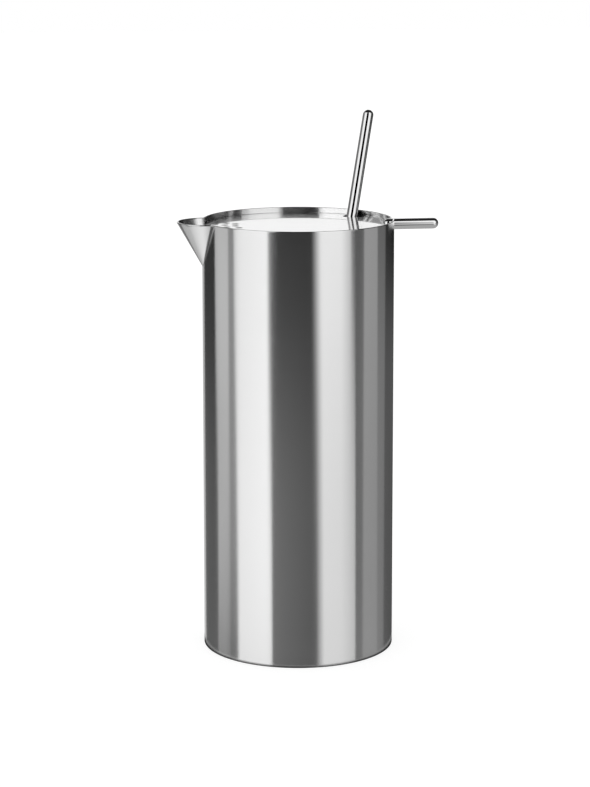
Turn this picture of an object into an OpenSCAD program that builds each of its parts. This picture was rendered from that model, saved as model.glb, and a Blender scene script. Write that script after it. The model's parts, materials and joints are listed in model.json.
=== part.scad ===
// Cocktail pitcher: a plain steel cylinder with a cone beak at its rim, a drop-in
// strainer lid on a short rod handle, and a long mixing spoon that leans in a notch
// of the lid. Millimetres. The origin is on the jug's axis at its bottom face, +Z is
// up, the beak points along -X and the lid's handle along +X.

/* [Jug] */
// Outer diameter of the tube
jug_d = 105; // [90:1:125]
// Height from the bottom face to the rim
jug_h = 238; // [190:1:290]
// Sheet thickness of the tube
wall_t = 0.8; // [0.6:0.1:1.4]
// Thickness of the base disc, on which the tube stands
base_t = 1.2; // [0.8:0.1:3]
// Rounding of the outer edge at the foot
foot_r = 0.5; // [0.2:0.1:0.5]

/* [Beak] */
// How far the beak's tip stands out from the tube
beak_reach = 14.3; // [9:0.1:18]
// Depth below the rim at which the beak runs out on the tube
beak_drop = 25.3; // [16:0.1:30]
// Radius of the cone at the beak's lip
beak_mouth_r = 16.8; // [14:0.1:20]
// How far the beak's lip lies below the rim
lip_sink = 0.4; // [0.2:0.1:0.8]
// Sheet thickness of the cone
beak_t = 0.8; // [0.6:0.1:1.2]

/* [Lid] */
// Depth of the lid's top face below the rim
lid_drop = 3.2; // [2.6:0.1:4.2]
// Thickness of the lid disc
lid_t = 1.2; // [0.8:0.1:1.6]
// Gap between the lid's edge and the tube
lid_gap = 0.5; // [0.3:0.1:1]
// Diameter of the strainer holes
hole_d = 4; // [3:0.1:5]
// Spacing of the strainer holes along a row
hole_pitch = 8; // [6.5:0.1:9]
// Spacing of the rows of holes
row_pitch = 5.5; // [5:0.1:7]
// Number of rows
hole_rows = 3; // [1:1:4]
// Holes in the outermost row, and each further row has one less
row_holes = 5; // [4:1:6]
// Distance of the outermost row from the lid's edge
row_inset = 5.7; // [4.5:0.1:8]
// Width of the lid's notch for the spoon
notch_w = 10; // [9:0.1:12]

/* [Rods] */
// Diameter of the handle and of the spoon's stem
rod_d = 6; // [5:0.1:7]
// How far the handle stands out from the tube
handle_reach = 25.5; // [15:0.1:40]
// Length of the handle that grips the lid's edge
handle_grip = 4.2; // [3:0.1:8]
// How far the handle's top lies below the rim
handle_sink = 0.8; // [0.6:0.1:1]
// Gap round the handle in the rim's notch
handle_gap = 0.4; // [0.3:0.1:1]

/* [Spoon] */
// Length from the bowl's tip to the top of the stem
spoon_len = 311; // [290:1:350]
// Length of the bowl
bowl_l = 44; // [34:1:50]
// Width of the bowl
bowl_w = 28; // [20:1:30]
// Depth of the hollow of the bowl
bowl_depth = 3.4; // [2:0.1:3.8]
// Sheet thickness of the bowl
bowl_t = 1; // [0.8:0.1:1.5]
// Length of the tang that sits in the stem's saw cut
tang_l = 8; // [5:1:14]
// Azimuth at which the stem leans on the rim
lean_az = 42; // [36:0.1:56]
// Gap between the stem and the rim, measured level and across the upright stem
lean_gap = 0.5; // [0.4:0.1:1]
// Azimuth at which the bowl's tip stands on the base
foot_az = 248.6; // [240:0.1:258]
// Distance of the bowl's tip from the tube
foot_gap = 9.3; // [7:0.1:14]

/* [Ledges] */
// Width of the two ledges that carry the lid
ledge_w = 2.2; // [1.6:0.1:3]
// Thickness of the ledges
ledge_t = 1.2; // [0.8:0.1:2]
// Clear distance along the wall from a ledge's end to the beak, a rod or the stem
ledge_clear = 7; // [6.5:0.5:12]
// Gap between a resting piece and its seat
rest_gap = 0.2; // [0.1:0.1:0.4]

/* [Hidden] */
$fn = 96;

// How far a cutting shape runs past the face that it cuts
overrun = 1;

// The tube
jug_r = jug_d / 2;
bore_r = jug_r - wall_t;

// The beak is part of an upright cone: its radius falls from beak_mouth_r at the lip
// to nothing at the apex
lip_z = jug_h - lip_sink;
beak_slope = beak_reach / (beak_drop - lip_sink);
beak_axis_x = jug_r + beak_reach - beak_mouth_r;
beak_apex = beak_mouth_r / beak_slope;
beak_angle = atan(beak_slope);
// Level thickness of the slanting sheet
beak_flat_t = beak_t / cos(beak_angle);

// The lid
lid_r = bore_r - lid_gap;
lid_top_z = jug_h - lid_drop;
lid_low_z = lid_top_z - lid_t;
handle_z = jug_h - handle_sink - rod_d / 2;
handle_end_x = jug_r + handle_reach;
handle_start_x = lid_r - handle_grip;

// The stem's axis runs from the tip of the bowl, on the base, to the place where it
// leans on the rim
foot_p = [
    (bore_r - foot_gap) * cos(foot_az),
    (bore_r - foot_gap) * sin(foot_az),
    base_t + rest_gap
];
rim_r = bore_r - rod_d / 2 - lean_gap;
rim_p = [rim_r * cos(lean_az), rim_r * sin(lean_az), jug_h];
lean_v = rim_p - foot_p;
stem_az = atan2(lean_v[1], lean_v[0]);
stem_tilt = atan(norm([lean_v[0], lean_v[1]]) / lean_v[2]);

// The axis at the middle of the lid's thickness
stem_share = (lid_top_z - lid_t / 2 - foot_p[2]) / lean_v[2];
stem_p = foot_p + lean_v * stem_share;

// The ledges lie between the beak, the handle and the stem
beak_half_az = asin(beak_mouth_r / jug_r);
end_az = ledge_clear / bore_r * 180 / PI;
rod_half_az = rod_d / 2 / bore_r * 180 / PI;

echo(stem_axis = lean_v / norm(lean_v));

// The tube's cross-section, with a full round at the rim
module tube_profile() {
    translate([bore_r, base_t]) square([wall_t, jug_h - wall_t / 2 - base_t]);
    translate([jug_r - wall_t / 2, jug_h - wall_t / 2]) circle(d = wall_t);
}

// A solid cone that widens upwards, with its mouth at the level of the lip
module beak_cone(mouth_r) {
    height = mouth_r / beak_slope;
    translate([-beak_axis_x, 0, lip_z - height])
        cylinder(h = height + overrun, r1 = 0, r2 = mouth_r + overrun * beak_slope);
}

// The round-bottomed cut in the rim through which the handle drops in
module handle_notch() {
    cut_r = rod_d / 2 + handle_gap;
    translate([bore_r - overrun, 0, handle_z])
        rotate([0, 90, 0]) cylinder(h = wall_t + 2 * overrun, r = cut_r);
    translate([bore_r - overrun, -cut_r, handle_z])
        cube([wall_t + 2 * overrun, 2 * cut_r, jug_h - handle_z + overrun]);
}

module body_tube() {
    color("silver")
    difference() {
        rotate_extrude() tube_profile();
        beak_cone(beak_mouth_r - beak_flat_t);
        handle_notch();
    }
}

// The disc is as wide as the tube that is welded on its top face, and its lower edge
// is rounded
module base_disc() {
    color("darkgray")
    rotate_extrude() {
        translate([0, foot_r]) square([jug_r, base_t - foot_r]);
        square([jug_r - foot_r, foot_r]);
        translate([jug_r - foot_r, foot_r]) circle(r = foot_r);
    }
}

// The sheet of the cone, with a rounded lip, turned about the cone's own axis
module beak_sheet() {
    round_z = -beak_t / 2;
    round_x = beak_mouth_r - beak_flat_t / 2 + round_z * beak_slope;
    translate([-beak_axis_x, 0, lip_z])
    rotate_extrude() {
        polygon([
            [0, -beak_apex],
            [round_x + beak_flat_t / 2, round_z],
            [round_x - beak_flat_t / 2, round_z],
            [0, -beak_apex + beak_flat_t / beak_slope]
        ]);
        translate([round_x, round_z]) circle(d = beak_t);
    }
}

module beak() {
    color("lightgray")
    difference() {
        beak_sheet();
        translate([0, 0, lip_z - beak_apex - overrun])
            cylinder(h = beak_apex + 2 * overrun, r = jug_r);
    }
}

// A flat strip bent to the wall, from one azimuth to another
module ledge(from_az, to_az) {
    rotate([0, 0, from_az])
    rotate_extrude(angle = to_az - from_az) {
        translate([bore_r - ledge_w + ledge_t / 2, lid_low_z - rest_gap - ledge_t])
            square([ledge_w - ledge_t / 2, ledge_t]);
        translate([bore_r - ledge_w + ledge_t / 2, lid_low_z - rest_gap - ledge_t / 2])
            circle(d = ledge_t);
    }
}

module front_ledge() {
    color("gray")
    ledge(180 + beak_half_az + end_az, 360 - rod_half_az - end_az);
}

module back_ledge() {
    color("gray")
    ledge(lean_az + rod_half_az + end_az, 180 - beak_half_az - end_az);
}

// The lid before it is pierced: a disc with a full round edge
module lid_blank() {
    translate([0, 0, lid_low_z])
    rotate_extrude() {
        square([lid_r - lid_t / 2, lid_t]);
        translate([lid_r - lid_t / 2, lid_t / 2]) circle(d = lid_t);
    }
}

// Staggered rows of holes, concentric with the lid's edge and centred on the beak
module strainer_holes() {
    for (row = [0 : hole_rows - 1]) {
        row_r = lid_r - row_inset - row * row_pitch;
        count = row_holes - row;
        step_az = hole_pitch / row_r * 180 / PI;
        for (i = [0 : count - 1])
            rotate([0, 0, 180 + (i - (count - 1) / 2) * step_az])
            translate([row_r, 0, lid_low_z - overrun])
                cylinder(h = lid_t + 2 * overrun, d = hole_d);
    }
}

// A slot, open at the edge, along the way that the stem leans, so that the lid
// lifts off past the leaning stem
module stem_notch() {
    translate([stem_p[0], stem_p[1], lid_low_z - overrun])
    rotate([0, 0, stem_az]) {
        cylinder(h = lid_t + 2 * overrun, d = notch_w);
        translate([0, -notch_w / 2, 0]) cube([lid_r, notch_w, lid_t + 2 * overrun]);
    }
}

module lid_disc() {
    color("gainsboro")
    difference() {
        lid_blank();
        strainer_holes();
        stem_notch();
    }
}

// A rod with round ends that lies along +Z, from zero to its length
module round_rod(length) {
    translate([0, 0, rod_d / 2]) cylinder(h = length - rod_d, d = rod_d);
    translate([0, 0, rod_d / 2]) sphere(d = rod_d);
    translate([0, 0, length - rod_d / 2]) sphere(d = rod_d);
}

// The handle's inner end has a saw cut that takes the edge of the lid
module lid_handle() {
    color("gainsboro")
    difference() {
        translate([handle_start_x, 0, handle_z])
            rotate([0, 90, 0]) round_rod(handle_end_x - handle_start_x);
        lid_blank();
    }
}

// Places the spoon, which is drawn upright with its tip at the origin
module lean() {
    translate(foot_p) rotate([0, stem_tilt, stem_az]) children();
}

// The stem's lower end has a saw cut that takes the bowl's tang
module spoon_stem() {
    color("gainsboro")
    lean()
    difference() {
        translate([0, 0, bowl_l]) round_rod(spoon_len - bowl_l);
        translate([-bowl_t / 2, -rod_d, bowl_l - overrun])
            cube([bowl_t, 2 * rod_d, tang_l + overrun]);
    }
}

// An egg shape that lies along Z, with half its thickness on each side of the YZ plane
module egg(depth, width, length) {
    scale([depth, width / 2, length / 2]) sphere(r = 1);
}

// The bowl is half of a thin egg shell: its rim lies in the YZ plane and its belly
// points along +X, away from the liquid's surface
module spoon_bowl() {
    color("gainsboro")
    lean()
    translate([-bowl_t / 2, 0, 0]) {
        translate([0, 0, bowl_l / 2])
        difference() {
            egg(bowl_depth + bowl_t, bowl_w, bowl_l);
            egg(bowl_depth, bowl_w - 2 * bowl_t, bowl_l - 2 * bowl_t);
            translate([-2 * bowl_w, -bowl_w, -bowl_l])
                cube([2 * bowl_w, 2 * bowl_w, 2 * bowl_l]);
        }
        translate([0, -rod_d / 2, bowl_l - bowl_t]) cube([bowl_t, rod_d, tang_l + bowl_t]);
    }
}

body_tube();
base_disc();
beak();
front_ledge();
back_ledge();
lid_disc();
lid_handle();
spoon_stem();
spoon_bowl();
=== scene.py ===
import json
import math

import bmesh
import bpy
from mathutils import Matrix, Vector


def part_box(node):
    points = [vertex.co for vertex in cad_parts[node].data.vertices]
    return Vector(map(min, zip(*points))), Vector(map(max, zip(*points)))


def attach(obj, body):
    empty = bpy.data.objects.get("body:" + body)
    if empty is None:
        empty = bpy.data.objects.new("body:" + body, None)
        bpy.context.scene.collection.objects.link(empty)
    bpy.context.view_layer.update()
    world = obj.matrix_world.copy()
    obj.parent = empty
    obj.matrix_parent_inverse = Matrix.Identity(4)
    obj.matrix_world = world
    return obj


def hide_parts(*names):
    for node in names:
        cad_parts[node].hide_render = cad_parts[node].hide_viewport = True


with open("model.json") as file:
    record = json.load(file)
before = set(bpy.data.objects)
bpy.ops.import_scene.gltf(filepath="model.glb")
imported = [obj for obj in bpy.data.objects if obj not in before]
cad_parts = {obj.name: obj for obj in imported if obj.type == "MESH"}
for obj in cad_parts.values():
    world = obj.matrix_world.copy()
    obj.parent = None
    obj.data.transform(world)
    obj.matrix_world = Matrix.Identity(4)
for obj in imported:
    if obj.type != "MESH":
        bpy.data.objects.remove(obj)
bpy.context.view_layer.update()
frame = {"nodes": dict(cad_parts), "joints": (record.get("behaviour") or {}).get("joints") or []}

# Base disc
# A plain disc cut from steel sheet, as wide as the tube that is welded on it. Its edge
# is ground flush with the tube and broken with a small radius at the bottom.
jug_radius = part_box("base_disc")[1].y
base_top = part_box("base_disc")[1].z
foot_radius = 0.0005
round_steps = 12
turn_steps = 512
double_gap = 1e-7
crease_angle = 30
level_share = 0.9999
scratch_roughness = 0.35


def around(count):
    """Azimuths that go once round, the last one short of the first."""
    return [2 * math.pi * step / count for step in range(count)]


def arc(centre, radius, first, last, steps):
    """Points of an arc in a cross-section, as (distance from the axis, height)."""
    points = []
    for step in range(steps + 1):
        angle = math.radians(first + (last - first) * step / steps)
        points.append((centre[0] + radius * math.cos(angle), centre[1] + radius * math.sin(angle)))
    return points


def skin_of(name, rows, closed_rows, closed_round):
    """A mesh whose skin joins rows of points, all as long as each other."""
    mesh = bpy.data.meshes.new(name)
    width = len(rows[0])
    points = [point for row in rows for point in row]
    faces = []
    for row in range(len(rows) if closed_round else len(rows) - 1):
        next_row = (row + 1) % len(rows)
        for spot in range(width if closed_rows else width - 1):
            next_spot = (spot + 1) % width
            faces.append((row * width + spot, next_row * width + spot,
                          next_row * width + next_spot, row * width + next_spot))
    mesh.from_pydata(points, [], faces)
    return mesh


def finish_mesh(mesh):
    """Joins double points, closes the ends, turns the faces outward, and shades the skin smooth
    but for its creases and its level faces."""
    skin = bmesh.new()
    skin.from_mesh(mesh)
    bmesh.ops.remove_doubles(skin, verts=skin.verts, dist=double_gap)
    bmesh.ops.dissolve_degenerate(skin, dist=double_gap, edges=skin.edges)
    open_edges = [edge for edge in skin.edges if edge.is_boundary]
    bmesh.ops.holes_fill(skin, edges=open_edges)
    bmesh.ops.recalc_face_normals(skin, faces=skin.faces)
    for face in skin.faces:
        face.smooth = abs(face.normal.z) < level_share
    for edge in skin.edges:
        edge.smooth = edge.calc_face_angle(0) < math.radians(crease_angle)
    skin.to_mesh(mesh)
    skin.free()
    return mesh


def turned(name, profile, azimuths, top=None):
    """A cross-section swept round the Z axis: closed, or open where its ends lie on the axis.
    top gives the height at which the skin is cut off, from a distance and an azimuth."""
    rows = []
    for azimuth in azimuths:
        row = []
        for radius, height in profile:
            if top:
                height = min(height, top(radius, azimuth))
            row.append((radius * math.cos(azimuth), radius * math.sin(azimuth), height))
        rows.append(row)
    return skin_of(name, rows, profile[0][0] > 0, True)


def piece(name, mesh, body, slot, *nodes):
    """Puts a mesh in the scene in place of its CAD nodes, on the body that carries them."""
    made = bpy.data.objects.new(name, mesh)
    bpy.context.scene.collection.objects.link(made)
    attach(made, body)
    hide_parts(*nodes)
    return made


class Wire:
    """What comes out of a node's socket. Sums and products of it add Math nodes."""

    def __init__(self, tree, socket=None):
        self.tree = tree
        self.socket = socket

    def node(self, kind, settings, sockets, output=0):
        """Adds a node, sets its settings, then the values or links of its sockets."""
        made = self.tree.nodes.new(kind)
        for key, value in settings.items():
            setattr(made, key, value)
        for key, value in sockets.items():
            if isinstance(value, Wire):
                self.tree.links.new(value.socket, made.inputs[key])
            else:
                made.inputs[key].default_value = value
        return Wire(self.tree, made.outputs[output])

    def math(self, operation, *values):
        return self.node("ShaderNodeMath", {"operation": operation}, dict(enumerate(values)))

    def __add__(self, other):
        return self.math("ADD", self, other)

    __radd__ = __add__

    def __mul__(self, other):
        return self.math("MULTIPLY", self, other)

    __rmul__ = __mul__

    def __sub__(self, other):
        return self.math("SUBTRACT", self, other)

    def __rsub__(self, other):
        return self.math("SUBTRACT", other, self)


def steel(name, grey, roughness, stretch, anisotropic=0.0, turn=0.0, uneven=0.0, wander=0.03, haze=0.0):
    """Bare steel. stretch is how finely the grain changes per metre along X, Y and Z, uneven and
    wander are how much the colour and the roughness follow the grain and wider patches, and haze
    is the share of the light that fine polishing scratches scatter widely."""
    material = bpy.data.materials.new(name)
    material.use_nodes = True
    tree = material.node_tree
    shader = tree.nodes["Principled BSDF"]
    shader.inputs["Metallic"].default_value = 1.0
    shader.inputs["Anisotropic"].default_value = anisotropic
    shader.inputs["Anisotropic Rotation"].default_value = turn
    start = Wire(tree)
    place = start.node("ShaderNodeTexCoord", {}, {}, "Object")
    grain_place = start.node("ShaderNodeMapping", {"vector_type": "POINT"},
                             {"Vector": place, "Scale": stretch})
    grain = start.node("ShaderNodeTexNoise", {},
                       {"Vector": grain_place, "Scale": 1.0, "Detail": 4.0, "Roughness": 0.6})
    patches = start.node("ShaderNodeTexNoise", {}, {"Vector": place, "Scale": 35.0, "Detail": 2.0})
    level = grey * (1.0 + (grain - 0.5) * uneven + (patches - 0.5) * wander)
    colour = start.node("ShaderNodeCombineColor", {}, {"Red": level, "Green": level, "Blue": level})
    rough = roughness * (1.0 + (grain - 0.5) * 2 * uneven + (patches - 0.5) * 2 * wander)
    tree.links.new(colour.socket, shader.inputs["Base Color"])
    tree.links.new(rough.socket, shader.inputs["Roughness"])
    if haze:
        polished = Wire(tree, shader.outputs[0])
        scratched = start.node("ShaderNodeBsdfPrincipled", {},
                               {"Base Color": colour, "Metallic": 1.0, "Roughness": scratch_roughness})
        both = start.node("ShaderNodeMixShader", {}, {0: haze, 1: polished, 2: scratched})
        tree.links.new(both.socket, tree.nodes["Material Output"].inputs["Surface"])
    return material


base_profile = [(0.0, 0.0), (jug_radius - foot_radius, 0.0)]
base_profile += arc((jug_radius - foot_radius, foot_radius), foot_radius, -90, 0, round_steps)[1:]
base_profile += [(jug_radius, base_top), (0.0, base_top)]
base_mesh = finish_mesh(turned("base_skin", base_profile, around(turn_steps)))
base = piece("base_plate", base_mesh, "jug", "base_steel", "base_disc")
base.data.materials.append(steel("turned_base_steel", grey=0.70, roughness=0.26, stretch=(25, 25, 2500),
                                 anisotropic=0.85, turn=0.25, uneven=0.06))

# Tube
# Stainless sheet rolled into a cylinder, welded, and brushed round its axis with fine
# grit. Its rim is rounded, cut open behind the beak and notched for the lid's handle.
wall = 0.0008
bore_radius = jug_radius - wall
rim_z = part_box("body_tube")[1].z
row_gap = 0.02
rim_support = 0.0004

beak_tip_x = jug_radius + 0.0143
beak_mouth = 0.0168
beak_drop = 0.0253
beak_sheet = 0.0008
lip_z = rim_z - 0.0004
beak_slope = (beak_tip_x - jug_radius) / (lip_z - rim_z + beak_drop)
beak_axis = beak_tip_x - beak_mouth
beak_level_sheet = beak_sheet / math.cos(math.atan(beak_slope))
beak_inside = beak_mouth - beak_level_sheet

rod_radius = (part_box("lid_handle")[1].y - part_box("lid_handle")[0].y) / 2
rod_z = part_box("lid_handle")[1].z - rod_radius
notch_radius = rod_radius + 0.0004


def cut_height(radius, azimuth):
    """The height at which the tube is cut off, at a distance from the axis and an azimuth."""
    x = radius * math.cos(azimuth)
    y = radius * math.sin(azimuth)
    height = math.inf
    if x < 0:
        height = lip_z + (math.hypot(x + beak_axis, y) - beak_inside) / beak_slope
    elif abs(y) < notch_radius:
        height = rod_z - math.sqrt(notch_radius ** 2 - y ** 2)
    return height


def fine_azimuths(count, spans):
    """Azimuths that go once round, and go finely through the given spans of degrees."""
    found = set(around(count))
    for first, last, steps in spans:
        for step in range(steps + 1):
            found.add(math.radians(first + (last - first) * step / steps) % (2 * math.pi))
    return sorted(found)


notch_edge = math.degrees(math.asin(notch_radius / jug_radius))
beak_edge = math.degrees(math.asin(beak_mouth / jug_radius))
hair = 0.002
beak_margin = 2
beak_edge_steps = 160
notch_edge_steps = 48
tube_profile = [(jug_radius, base_top)]
row_count = int((rim_z - base_top) / row_gap)
wall_top = rim_z - wall / 2
for row in range(1, row_count):
    tube_profile.append((jug_radius, base_top + (wall_top - base_top) * row / row_count))
tube_profile.append((jug_radius, wall_top - rim_support))
tube_profile += arc((jug_radius - wall / 2, wall_top), wall / 2, 0, 180, 2 * round_steps)
tube_profile.append((bore_radius, wall_top - rim_support))
for row in range(row_count - 1, 0, -1):
    tube_profile.append((bore_radius, base_top + (wall_top - base_top) * row / row_count))
tube_profile.append((bore_radius, base_top))
tube_azimuths = fine_azimuths(turn_steps, [
    (180 - beak_edge - beak_margin, 180 + beak_edge + beak_margin, beak_edge_steps),
    (-notch_edge + hair, notch_edge - hair, notch_edge_steps),
    (-notch_edge - hair, -notch_edge - hair, 1),
    (notch_edge + hair, notch_edge + hair, 1),
])
tube_mesh = finish_mesh(turned("tube_skin", tube_profile, tube_azimuths, cut_height))
tube = piece("jug_tube", tube_mesh, "jug", "tube_steel", "body_tube")
tube.data.materials.append(steel("brushed_tube_steel", grey=0.84, roughness=0.17, stretch=(30, 30, 2600),
                                 anisotropic=0.92, turn=0.25, uneven=0.05))

# Beak
# A piece cut from a thin steel cone, mitred onto the outside of the tube and welded.
# The seam is dressed and the sheet has a fine satin all over.
beak_steps = 96
fall_steps = 24


def meet_angle(radius):
    """The angle from the beak's middle at which a circle round the cone's axis meets the tube."""
    return math.acos((jug_radius ** 2 - beak_axis ** 2 - radius ** 2) / (2 * beak_axis * radius))


def meet_radius(angle):
    """The cone's radius where it meets the tube, at an angle from the beak's middle."""
    across = beak_axis * math.sin(angle)
    return math.sqrt(jug_radius ** 2 - across ** 2) - beak_axis * math.cos(angle)


def beak_row(share):
    """One section of the beak's sheet, from the tube up the outside, over the lip and down the
    inside. share runs from -1 to 1 across the beak."""
    tilt = math.degrees(math.atan(beak_slope))
    lip_height = lip_z - beak_sheet / 2
    lip_middle = beak_mouth - beak_level_sheet / 2 - beak_sheet / 2 * beak_slope
    lip = arc((lip_middle, lip_height), beak_sheet / 2, -tilt, 180 - tilt, round_steps)
    sides = []
    for radius, height in (lip[0], lip[-1]):
        angle = share * meet_angle(radius)
        low = meet_radius(angle)
        side = []
        for step in range(fall_steps):
            fall = (radius - low) * (1 - step / fall_steps)
            side.append((angle, radius - fall, height - fall / beak_slope))
        sides.append(side)
    row = sides[0]
    row += [(share * meet_angle(radius), radius, height) for radius, height in lip]
    row += reversed(sides[1])
    return [(-beak_axis - radius * math.cos(angle), radius * math.sin(angle), height)
            for angle, radius, height in row]


beak_rows = [beak_row(2 * step / beak_steps - 1) for step in range(beak_steps + 1)]
beak_mesh = finish_mesh(skin_of("beak_skin", beak_rows, True, False))
beak = piece("pouring_beak", beak_mesh, "jug", "beak_steel", "beak")
beak.data.materials.append(steel("satin_beak_steel", grey=0.84, roughness=0.20, stretch=(400, 400, 400),
                                 uneven=0.04))

# Ledges
# Two narrow strips bent to the wall and welded inside the tube, just below the rim,
# which carry the lid. They stop short of the beak, the handle and the spoon.
for node in ("front_ledge", "back_ledge"):
    ledge = frame["nodes"][node]
    ledge.data.materials.clear()
    ledge.data.materials.append(steel(node + "_steel", grey=0.70, roughness=0.3, stretch=(60, 60, 900),
                                      uneven=0.08))

# Lid disc
# A steel disc, mirror polished on both faces, with a full round edge. Three staggered
# rows of drilled holes strain the drink, and an open notch lets the spoon lean through.
lid_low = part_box("lid_disc")[0]
lid_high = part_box("lid_disc")[1]
lid_radius = -lid_low.x
lid_sheet = lid_high.z - lid_low.z
lid_top = lid_high.z

hole_radius = 0.002
hole_pitch = 0.008
row_inset = 0.0057
row_pitch = 0.0055
row_holes = (5, 4, 3)
hole_steps = 64
cut_over = 0.001


def drill(name, x, y, radius, low, high, steps):
    """An upright cylinder that cuts a hole."""
    cutter = bmesh.new()
    bmesh.ops.create_cone(cutter, cap_ends=True, segments=steps, radius1=radius, radius2=radius,
                          depth=high - low, matrix=Matrix.Translation((x, y, (low + high) / 2)))
    mesh = bpy.data.meshes.new(name)
    cutter.to_mesh(mesh)
    cutter.free()
    return mesh


def cut(mesh, cutters):
    """Takes the cutters out of a mesh, one after the other, and returns the new mesh."""
    for cutter in cutters:
        body = bpy.data.objects.new("body_to_cut", mesh)
        tool = bpy.data.objects.new("cutting_tool", cutter)
        bpy.context.scene.collection.objects.link(body)
        bpy.context.scene.collection.objects.link(tool)
        step = body.modifiers.new("cut", "BOOLEAN")
        step.operation = "DIFFERENCE"
        step.solver = "EXACT"
        step.object = tool
        shown = body.evaluated_get(bpy.context.evaluated_depsgraph_get())
        mesh = bpy.data.meshes.new_from_object(shown)
        bpy.data.objects.remove(body)
        bpy.data.objects.remove(tool)
    return mesh


stem_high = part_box("spoon_stem")[1]
stem_joint = [joint for joint in frame["joints"] if joint["name"] == "spoon_lift"][0]
stem_way = Vector(stem_joint["axis"]).normalized()
stem_tip = stem_high - Vector((rod_radius, rod_radius, rod_radius))
stem_at_lid = stem_tip + stem_way * ((lid_top - lid_sheet / 2 - stem_tip.z) / stem_way.z)
notch_half = 0.005
notch_steps = 48
notch_way = Vector((stem_way.x, stem_way.y, 0)).normalized()
notch_side = Vector((-notch_way.y, notch_way.x, 0))
notch_start = Vector((stem_at_lid.x, stem_at_lid.y, lid_low.z - cut_over))

lid_profile = [(0.0, lid_low.z), (lid_radius - lid_sheet / 2, lid_low.z)]
lid_profile += arc((lid_radius - lid_sheet / 2, lid_low.z + lid_sheet / 2), lid_sheet / 2, -90, 90,
                   2 * round_steps)[1:]
lid_profile += [(0.0, lid_top)]
lid_mesh = finish_mesh(turned("lid_skin", lid_profile, around(turn_steps)))
lid_cutters = []
for row, count in enumerate(row_holes):
    row_radius = lid_radius - row_inset - row * row_pitch
    for hole in range(count):
        azimuth = math.pi + (hole - (count - 1) / 2) * hole_pitch / row_radius
        lid_cutters.append(drill("strainer_hole", row_radius * math.cos(azimuth),
                                 row_radius * math.sin(azimuth), hole_radius,
                                 lid_low.z - cut_over, lid_top + cut_over, hole_steps))
notch_outline = arc((0.0, 0.0), notch_half, 90, 270, notch_steps)
notch_outline += [(lid_radius, -notch_half), (lid_radius, notch_half)]
notch_points = [notch_start + notch_way * x + notch_side * y for x, y in notch_outline]
notch = bmesh.new()
notch_face = notch.faces.new([notch.verts.new(point) for point in notch_points])
raised = bmesh.ops.extrude_face_region(notch, geom=[notch_face])
for corner in raised["geom"]:
    if isinstance(corner, bmesh.types.BMVert):
        corner.co.z += lid_sheet + 2 * cut_over
bmesh.ops.recalc_face_normals(notch, faces=notch.faces)
notch_mesh = bpy.data.meshes.new("notch_cutter")
notch.to_mesh(notch_mesh)
notch.free()
lid_mesh = finish_mesh(cut(lid_mesh, lid_cutters + [notch_mesh]))
lid = piece("strainer_lid", lid_mesh, "lid", "lid_steel", "lid_disc")
lid.data.materials.clear()
lid.data.materials.append(steel("mirror_lid_steel", grey=0.92, roughness=0.05, stretch=(300, 300, 300),
                                uneven=0.02, wander=0.01, haze=0.25))

# Handle of the lid
# A short length of round bar with domed ends, polished. A saw cut in its inner end grips
# the edge of the lid and is brazed there, and it lies in the notch of the rim.
dome_steps = 24
bar_steps = 96


def bar(length):
    """A round bar with domed ends that lies along Z from zero."""
    profile = arc((0.0, rod_radius), rod_radius, -90, 0, dome_steps)
    profile.append((rod_radius, rod_radius + rim_support))
    profile.append((rod_radius, length - rod_radius - rim_support))
    profile += arc((0.0, length - rod_radius), rod_radius, 0, 90, dome_steps)
    return turned("bar_skin", profile, around(bar_steps))


handle_low, handle_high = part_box("lid_handle")
handle_mesh = bar(handle_high.x - handle_low.x)
handle_mesh.transform(Matrix.Translation((handle_low.x, 0, rod_z)) @ Matrix.Rotation(math.pi / 2, 4, "Y"))
grip_cutter = turned("grip_cutter", lid_profile, around(turn_steps))
handle_mesh = finish_mesh(cut(finish_mesh(handle_mesh), [finish_mesh(grip_cutter)]))
handle = piece("handle_bar", handle_mesh, "lid", "rod_steel", "lid_handle")
handle.data.materials.clear()
polished_bar = steel("polished_bar_steel", grey=0.78, roughness=0.05, stretch=(500, 500, 500), uneven=0.04)
handle.data.materials.append(polished_bar)

# Stem of the spoon
# A long round bar with a domed top, polished like the handle. It leans in the lid's
# notch, and its lower end is sawn to take the tang of the bowl.
bowl_length = 0.044
tang_length = 0.008
tang_sheet = 0.001
spoon_total = 0.311
spoon_foot = stem_tip - stem_way * (spoon_total - rod_radius)
stem_azimuth = math.atan2(stem_way.y, stem_way.x)
stem_tilt = math.acos(stem_way.z)
lean = Matrix.Rotation(stem_azimuth, 4, "Z") @ Matrix.Rotation(stem_tilt, 4, "Y")
lean = Matrix.Translation(spoon_foot) @ lean

stem_mesh = bar(spoon_total - bowl_length)
stem_mesh.transform(Matrix.Translation((0, 0, bowl_length)))
saw = bmesh.new()
saw_place = Matrix.Translation((0, 0, bowl_length + tang_length / 2 - cut_over / 2))
saw_size = Matrix.Diagonal((tang_sheet, 4 * rod_radius, tang_length + cut_over, 1))
bmesh.ops.create_cube(saw, size=1, matrix=saw_place @ saw_size)
saw_mesh = bpy.data.meshes.new("saw_cutter")
saw.to_mesh(saw_mesh)
saw.free()
stem_mesh = finish_mesh(cut(finish_mesh(stem_mesh), [saw_mesh]))
stem_mesh.transform(lean)
stem = piece("spoon_bar", stem_mesh, "spoon", "rod_steel", "spoon_stem")
stem.data.materials.clear()
stem.data.materials.append(polished_bar)

# Bowl of the spoon
# A shallow egg-shaped bowl pressed from thin sheet and polished. Its tang sits in the
# saw cut of the stem.
bowl = frame["nodes"]["spoon_bowl"]
bowl.data.materials.clear()
bowl.data.materials.append(steel("polished_bowl_steel", grey=0.78, roughness=0.12, stretch=(400, 400, 400),
                                 uneven=0.04))

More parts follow.
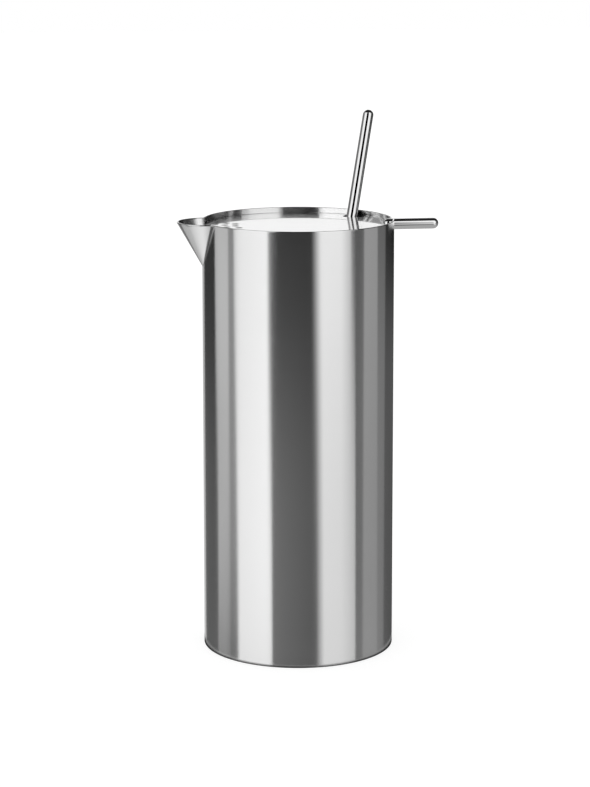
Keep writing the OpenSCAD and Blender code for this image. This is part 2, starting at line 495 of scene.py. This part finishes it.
# Studio
# The photographer's set: a pale table, a white backdrop, and screens that only the steel
# sees. They are set for the bands that the camera sees on the tube. A dark ring
# round the foot gives the steel the shade of its contact with the table to mirror.
floor_mesh = bpy.data.meshes.new("floor_sheet")
floor_half = 6.0
paper_grey = 0.3
paper_roughness = 0.9
paper_glow = 0.76
floor_mesh.from_pydata([(-floor_half, -floor_half, 0), (floor_half, -floor_half, 0),
                        (floor_half, floor_half, 0), (-floor_half, floor_half, 0)], [], [(0, 1, 2, 3)])
floor = bpy.data.objects.new("floor", floor_mesh)
bpy.context.scene.collection.objects.link(floor)
paper = bpy.data.materials.new("floor_paper")
paper.use_nodes = True
paper_shader = paper.node_tree.nodes["Principled BSDF"]
paper_shader.inputs["Base Color"].default_value = (paper_grey, paper_grey, paper_grey, 1)
paper_shader.inputs["Roughness"].default_value = paper_roughness
paper_shader.inputs["Emission Color"].default_value = (1, 1, 1, 1)
paper_shader.inputs["Emission Strength"].default_value = paper_glow
floor_mesh.materials.append(paper)
floor.visible_glossy = False

world = bpy.data.worlds.new("studio")
bpy.context.scene.world = world
world.use_nodes = True
world.node_tree.nodes["Background"].inputs["Color"].default_value = (1, 1, 1, 1)
world.node_tree.nodes["Background"].inputs["Strength"].default_value = 1.0

camera_azimuth = -98.5
screen_radius = 1.5
screen_steps = 12
screens = {
    # rows of: height, first and last azimuth from the camera, grey at the first and at the last
    "left_softbox": [
        (2.9, -86, -28, 1.00, 1.25),
        (1.0, -86, -29, 1.00, 1.25),
        (0.43, -72, -26, 1.35, 1.60),
        (0.32, -78, -33, 1.00, 1.15),
        (0.22, -82, -36.5, 0.90, 1.00),
        (0.04, -82, -36.5, 0.90, 0.98),
        (-0.19, -78.5, -32.6, 0.96, 1.14),
        (-0.62, -75.5, -30.5, 1.08, 1.20),
    ],
    "camera_flag": [
        (2.9, -28, 24, 0.0, 0.0),
        (2.0, -28, 22, 0.0, 0.0),
        (1.3, -29, 20, 0.0, 0.0),
        (1.0, -29, 21, 0.0, 0.0),
        (0.43, -26, 19, 0.0, 0.0),
        (0.32, -33, 16, 0.02, 0.02),
        (0.04, -36.5, 15.5, 0.025, 0.035),
        (-0.12, -35, 19, 0.01, 0.0),
        (-0.18, -32.6, 20.5, 0.24, 0.15),
        (-0.28, -31.6, 21, 0.27, 0.18),
        (-0.36, -31, 23, 0.16, 0.08),
        (-0.62, -30.5, 24, 0.12, 0.04),
    ],
    "right_softbox_edge": [
        (2.9, 24, 29, 0.0, 1.17),
        (2.0, 22, 27, 0.0, 1.17),
        (1.3, 20, 25, 0.0, 1.17),
        (1.0, 21, 26, 0.0, 1.17),
        (0.43, 19, 26, 0.0, 1.10),
        (0.32, 16, 25, 0.03, 1.02),
        (0.04, 15.5, 25, 0.07, 1.00),
        (-0.12, 19, 28.5, 0.02, 0.88),
        (-0.29, 21, 30.5, 0.16, 0.82),
        (-0.62, 24, 33, 0.02, 0.90),
    ],
    "right_softbox": [
        (2.9, 29, 52, 1.17, 1.10),
        (2.0, 27, 52, 1.17, 1.10),
        (1.3, 25, 52, 1.17, 1.22),
        (1.0, 26, 52, 1.17, 1.22),
        (0.43, 26, 52, 1.10, 1.06),
        (0.04, 25, 52, 1.00, 0.97),
        (-0.12, 28.5, 52, 0.88, 0.83),
        (-0.29, 30.5, 52, 0.82, 0.79),
        (-0.62, 33, 52, 0.90, 0.88),
    ],
    "right_bounce_card": [
        (2.9, 52, 58, 1.10, 0.60),
        (2.0, 52, 62, 1.10, 0.60),
        (1.3, 52, 74, 1.22, 0.90),
        (1.0, 52, 80, 1.22, 1.05),
        (0.43, 52, 75, 1.06, 0.75),
        (0.34, 52, 64.5, 1.00, 0.60),
        (0.04, 52, 64.5, 0.97, 0.48),
        (-0.12, 52, 71, 0.83, 0.52),
        (-0.29, 52, 72.5, 0.79, 0.62),
        (-0.62, 52, 73, 0.88, 0.68),
    ],
    "right_flag": [
        (0.43, 75, 84, 0.04, 0.06),
        (0.34, 64.5, 84, 0.0, 0.12),
        (0.04, 64.5, 84, 0.0, 0.13),
        (-0.12, 71, 84, 0.17, 0.20),
        (-0.29, 72.5, 84, 0.14, 0.17),
        (-0.62, 73, 84, 0.15, 0.17),
    ],
    "right_screen": [
        (0.30, 84, 108, 0.36, 0.34),
        (0.04, 84, 108, 0.39, 0.36),
        (-0.19, 84, 110, 0.33, 0.30),
        (-0.62, 84, 112, 0.27, 0.28),
    ],
    "right_rear_screen": [
        (0.30, 108, 127, 0.06, 0.06),
        (0.04, 108, 127, 0.14, 0.14),
        (-0.12, 109, 127, 0.23, 0.21),
        (-0.62, 112, 127, 0.22, 0.20),
    ],
    "right_rear_flag": [
        (0.30, 127, 165, 0.01, 0.0),
        (0.04, 127, 165, 0.01, 0.0),
        (-0.10, 127, 165, 0.11, 0.09),
        (-0.62, 127, 165, 0.11, 0.08),
    ],
    "right_dark_room": [
        (2.9, 58, 165, 0.08, 0.0),
        (2.0, 62, 165, 0.08, 0.0),
        (1.3, 74, 165, 0.08, 0.0),
        (1.0, 80, 165, 0.08, 0.0),
        (0.43, 75, 165, 0.03, 0.0),
        (0.30, 84, 165, 0.03, 0.0),
    ],
    "left_screen": [
        (0.15, -117, -91, 0.62, 0.68),
        (0.04, -117, -91, 0.65, 0.70),
        (-0.11, -115, -90, 0.56, 0.63),
        (-0.22, -112.5, -90, 0.42, 0.45),
        (-0.36, -112, -89.3, 0.60, 0.58),
        (-0.48, -111.5, -88.8, 0.10, 0.10),
        (-0.62, -111, -88, 0.04, 0.04),
    ],
    "left_inner_screen": [
        (0.15, -91, -82, 0.32, 0.32),
        (0.04, -91, -82, 0.34, 0.34),
        (-0.19, -90, -78.5, 0.28, 0.24),
        (-0.36, -89.3, -77.3, 0.42, 0.34),
        (-0.48, -88.8, -76.5, 0.08, 0.08),
        (-0.62, -88, -75.5, 0.04, 0.04),
    ],
    "left_rear_flag": [
        (0.15, -152, -117, 0.0, 0.0),
        (0.04, -152, -117, 0.03, 0.02),
        (-0.11, -152, -115, 0.06, 0.04),
        (-0.22, -152, -112.5, 0.12, 0.10),
        (-0.62, -152, -111, 0.14, 0.10),
    ],
    "left_dark_room": [
        (2.9, -152, -86, 0.28, 0.25),
        (1.0, -152, -86, 0.28, 0.25),
        (0.43, -152, -72, 0.24, 0.0),
        (0.32, -152, -78, 0.20, 0.0),
        (0.15, -152, -82, 0.10, 0.08),
    ],
    "left_edge_card": [
        (0.3, -180, -152, 0.60, 0.30),
        (-0.10, -180, -152, 0.75, 0.35),
        (-0.62, -180, -152, 1.00, 0.55),
    ],
    "right_edge_card": [
        (0.3, 165, 180, 0.0, 0.30),
        (-0.62, 165, 180, 0.05, 0.30),
    ],
}
# The table cards show the table as the steel mirrors it, with light and shade painted in: paler to the
# left, where the left softbox lights the table, and darker to the right and further out from the jug.
painted_light_table_cards = {
    # rows of: distance from the axis, first and last azimuth from the camera, grey at the first and
    # at the last
    "left_rear_table": [
        (0.0, -165, -100, 0.92, 0.92),
        (0.5, -165, -100, 0.85, 0.88),
        (1.0, -165, -100, 0.60, 0.50),
        (1.5, -165, -100, 0.60, 0.36),
    ],
    "left_table": [
        (0.0, -100, -31, 0.92, 0.92),
        (0.5, -100, -31, 0.88, 0.92),
        (0.8, -100, -31, 0.66, 0.60),
        (0.95, -100, -31, 0.08, 0.08),
        (1.5, -100, -31, 0.02, 0.02),
    ],
    "front_table": [
        (0.0, -31, 24, 0.92, 0.46),
        (0.6, -31, 24, 0.92, 0.46),
        (1.0, -31, 24, 0.20, 0.20),
        (1.5, -31, 24, 0.20, 0.20),
    ],
    "right_table": [
        (0.0, 24, 195, 0.46, 0.46),
        (1.5, 24, 195, 0.46, 0.46),
    ],
}
ceiling_height = 1.2
ceiling_centre = 0.387
ceiling_radius = 0.943
ceiling_steps = 48
ceiling_grey = 0.02
table_depth = -0.62
shade_height = 0.00002
shade_rings = [
    # rows of: distance out from the tube, grey
    (-0.001, 0.0),
    (0.0015, 0.02),
    (0.004, 0.45),
]


def stage_mesh(name, mesh, greys):
    """Puts a self-lit screen of the set where only the steel sees it."""
    shade = mesh.attributes.new("grey", "FLOAT", "POINT")
    for spot, grey in enumerate(greys):
        shade.data[spot].value = grey
    screen = bpy.data.objects.new(name, mesh)
    bpy.context.scene.collection.objects.link(screen)
    screen.visible_camera = False
    screen.visible_diffuse = False
    screen.visible_shadow = False
    screen.visible_transmission = False
    screen_paper = bpy.data.materials.new(name + "_paper")
    screen_paper.use_nodes = True
    tree = screen_paper.node_tree
    matt = tree.nodes["Principled BSDF"]
    matt.inputs["Base Color"].default_value = (0, 0, 0, 1)
    matt.inputs["Specular IOR Level"].default_value = 0
    matt.inputs["Emission Strength"].default_value = 1
    grey = Wire(tree).node("ShaderNodeAttribute", {"attribute_name": "grey"}, {})
    tree.links.new(grey.socket, matt.inputs["Emission Color"])
    mesh.materials.append(screen_paper)


for name, levels in [*screens.items(), *painted_light_table_cards.items()]:
    rows = []
    greys = []
    for level, first, last, first_grey, last_grey in levels:
        radius, height = (level, table_depth) if name in painted_light_table_cards else (screen_radius, level)
        row = []
        for step in range(screen_steps + 1):
            share = step / screen_steps
            azimuth = math.radians(camera_azimuth + first + (last - first) * share)
            row.append((radius * math.cos(azimuth), radius * math.sin(azimuth), height))
            greys.append(first_grey + (last_grey - first_grey) * share)
        rows.append(row)
    stage_mesh(name, skin_of(name, rows, False, False), greys)

back = Vector((-math.cos(math.radians(camera_azimuth)), -math.sin(math.radians(camera_azimuth)), 0))
rim = []
for azimuth in around(ceiling_steps):
    spot = back * ceiling_centre + Vector((math.cos(azimuth), math.sin(azimuth), 0)) * ceiling_radius
    rim.append((spot.x, spot.y, ceiling_height))
ceiling_mesh = bpy.data.meshes.new("ceiling_flag")
ceiling_mesh.from_pydata(rim, [], [range(ceiling_steps)])
stage_mesh("ceiling_flag", ceiling_mesh, [ceiling_grey] * ceiling_steps)

# The foot shade is painted shade: a dark self-lit ring that stands in for the contact shadow on the table
# round the foot, for the steel to mirror.
shade_rows = []
shade_greys = []
for out, grey in shade_rings:
    radius = jug_radius + out
    shade_rows.append([(radius * math.cos(azimuth), radius * math.sin(azimuth), shade_height)
                       for azimuth in around(turn_steps)])
    shade_greys += [grey] * turn_steps
stage_mesh("foot_shade", skin_of("foot_shade", shade_rows, True, False), shade_greys)

camera_data = bpy.data.cameras.new("camera")
camera = bpy.data.objects.new("camera", camera_data)
bpy.context.scene.collection.objects.link(camera)
bpy.context.scene.camera = camera
camera_data.sensor_width = 36.0
camera_data.lens = 113.69
camera_data.shift_x = -0.00395
camera_data.shift_y = -0.13161
camera_data.clip_end = 30.0
camera_distance = 1.34603
camera_height = 0.41555
camera_pitch = 9.153
camera.location = (camera_distance * math.cos(math.radians(camera_azimuth)),
                   camera_distance * math.sin(math.radians(camera_azimuth)), camera_height)
camera.rotation_euler = (math.radians(90 - camera_pitch), 0, math.radians(camera_azimuth + 90))

bpy.context.scene.view_settings.view_transform = "Standard"
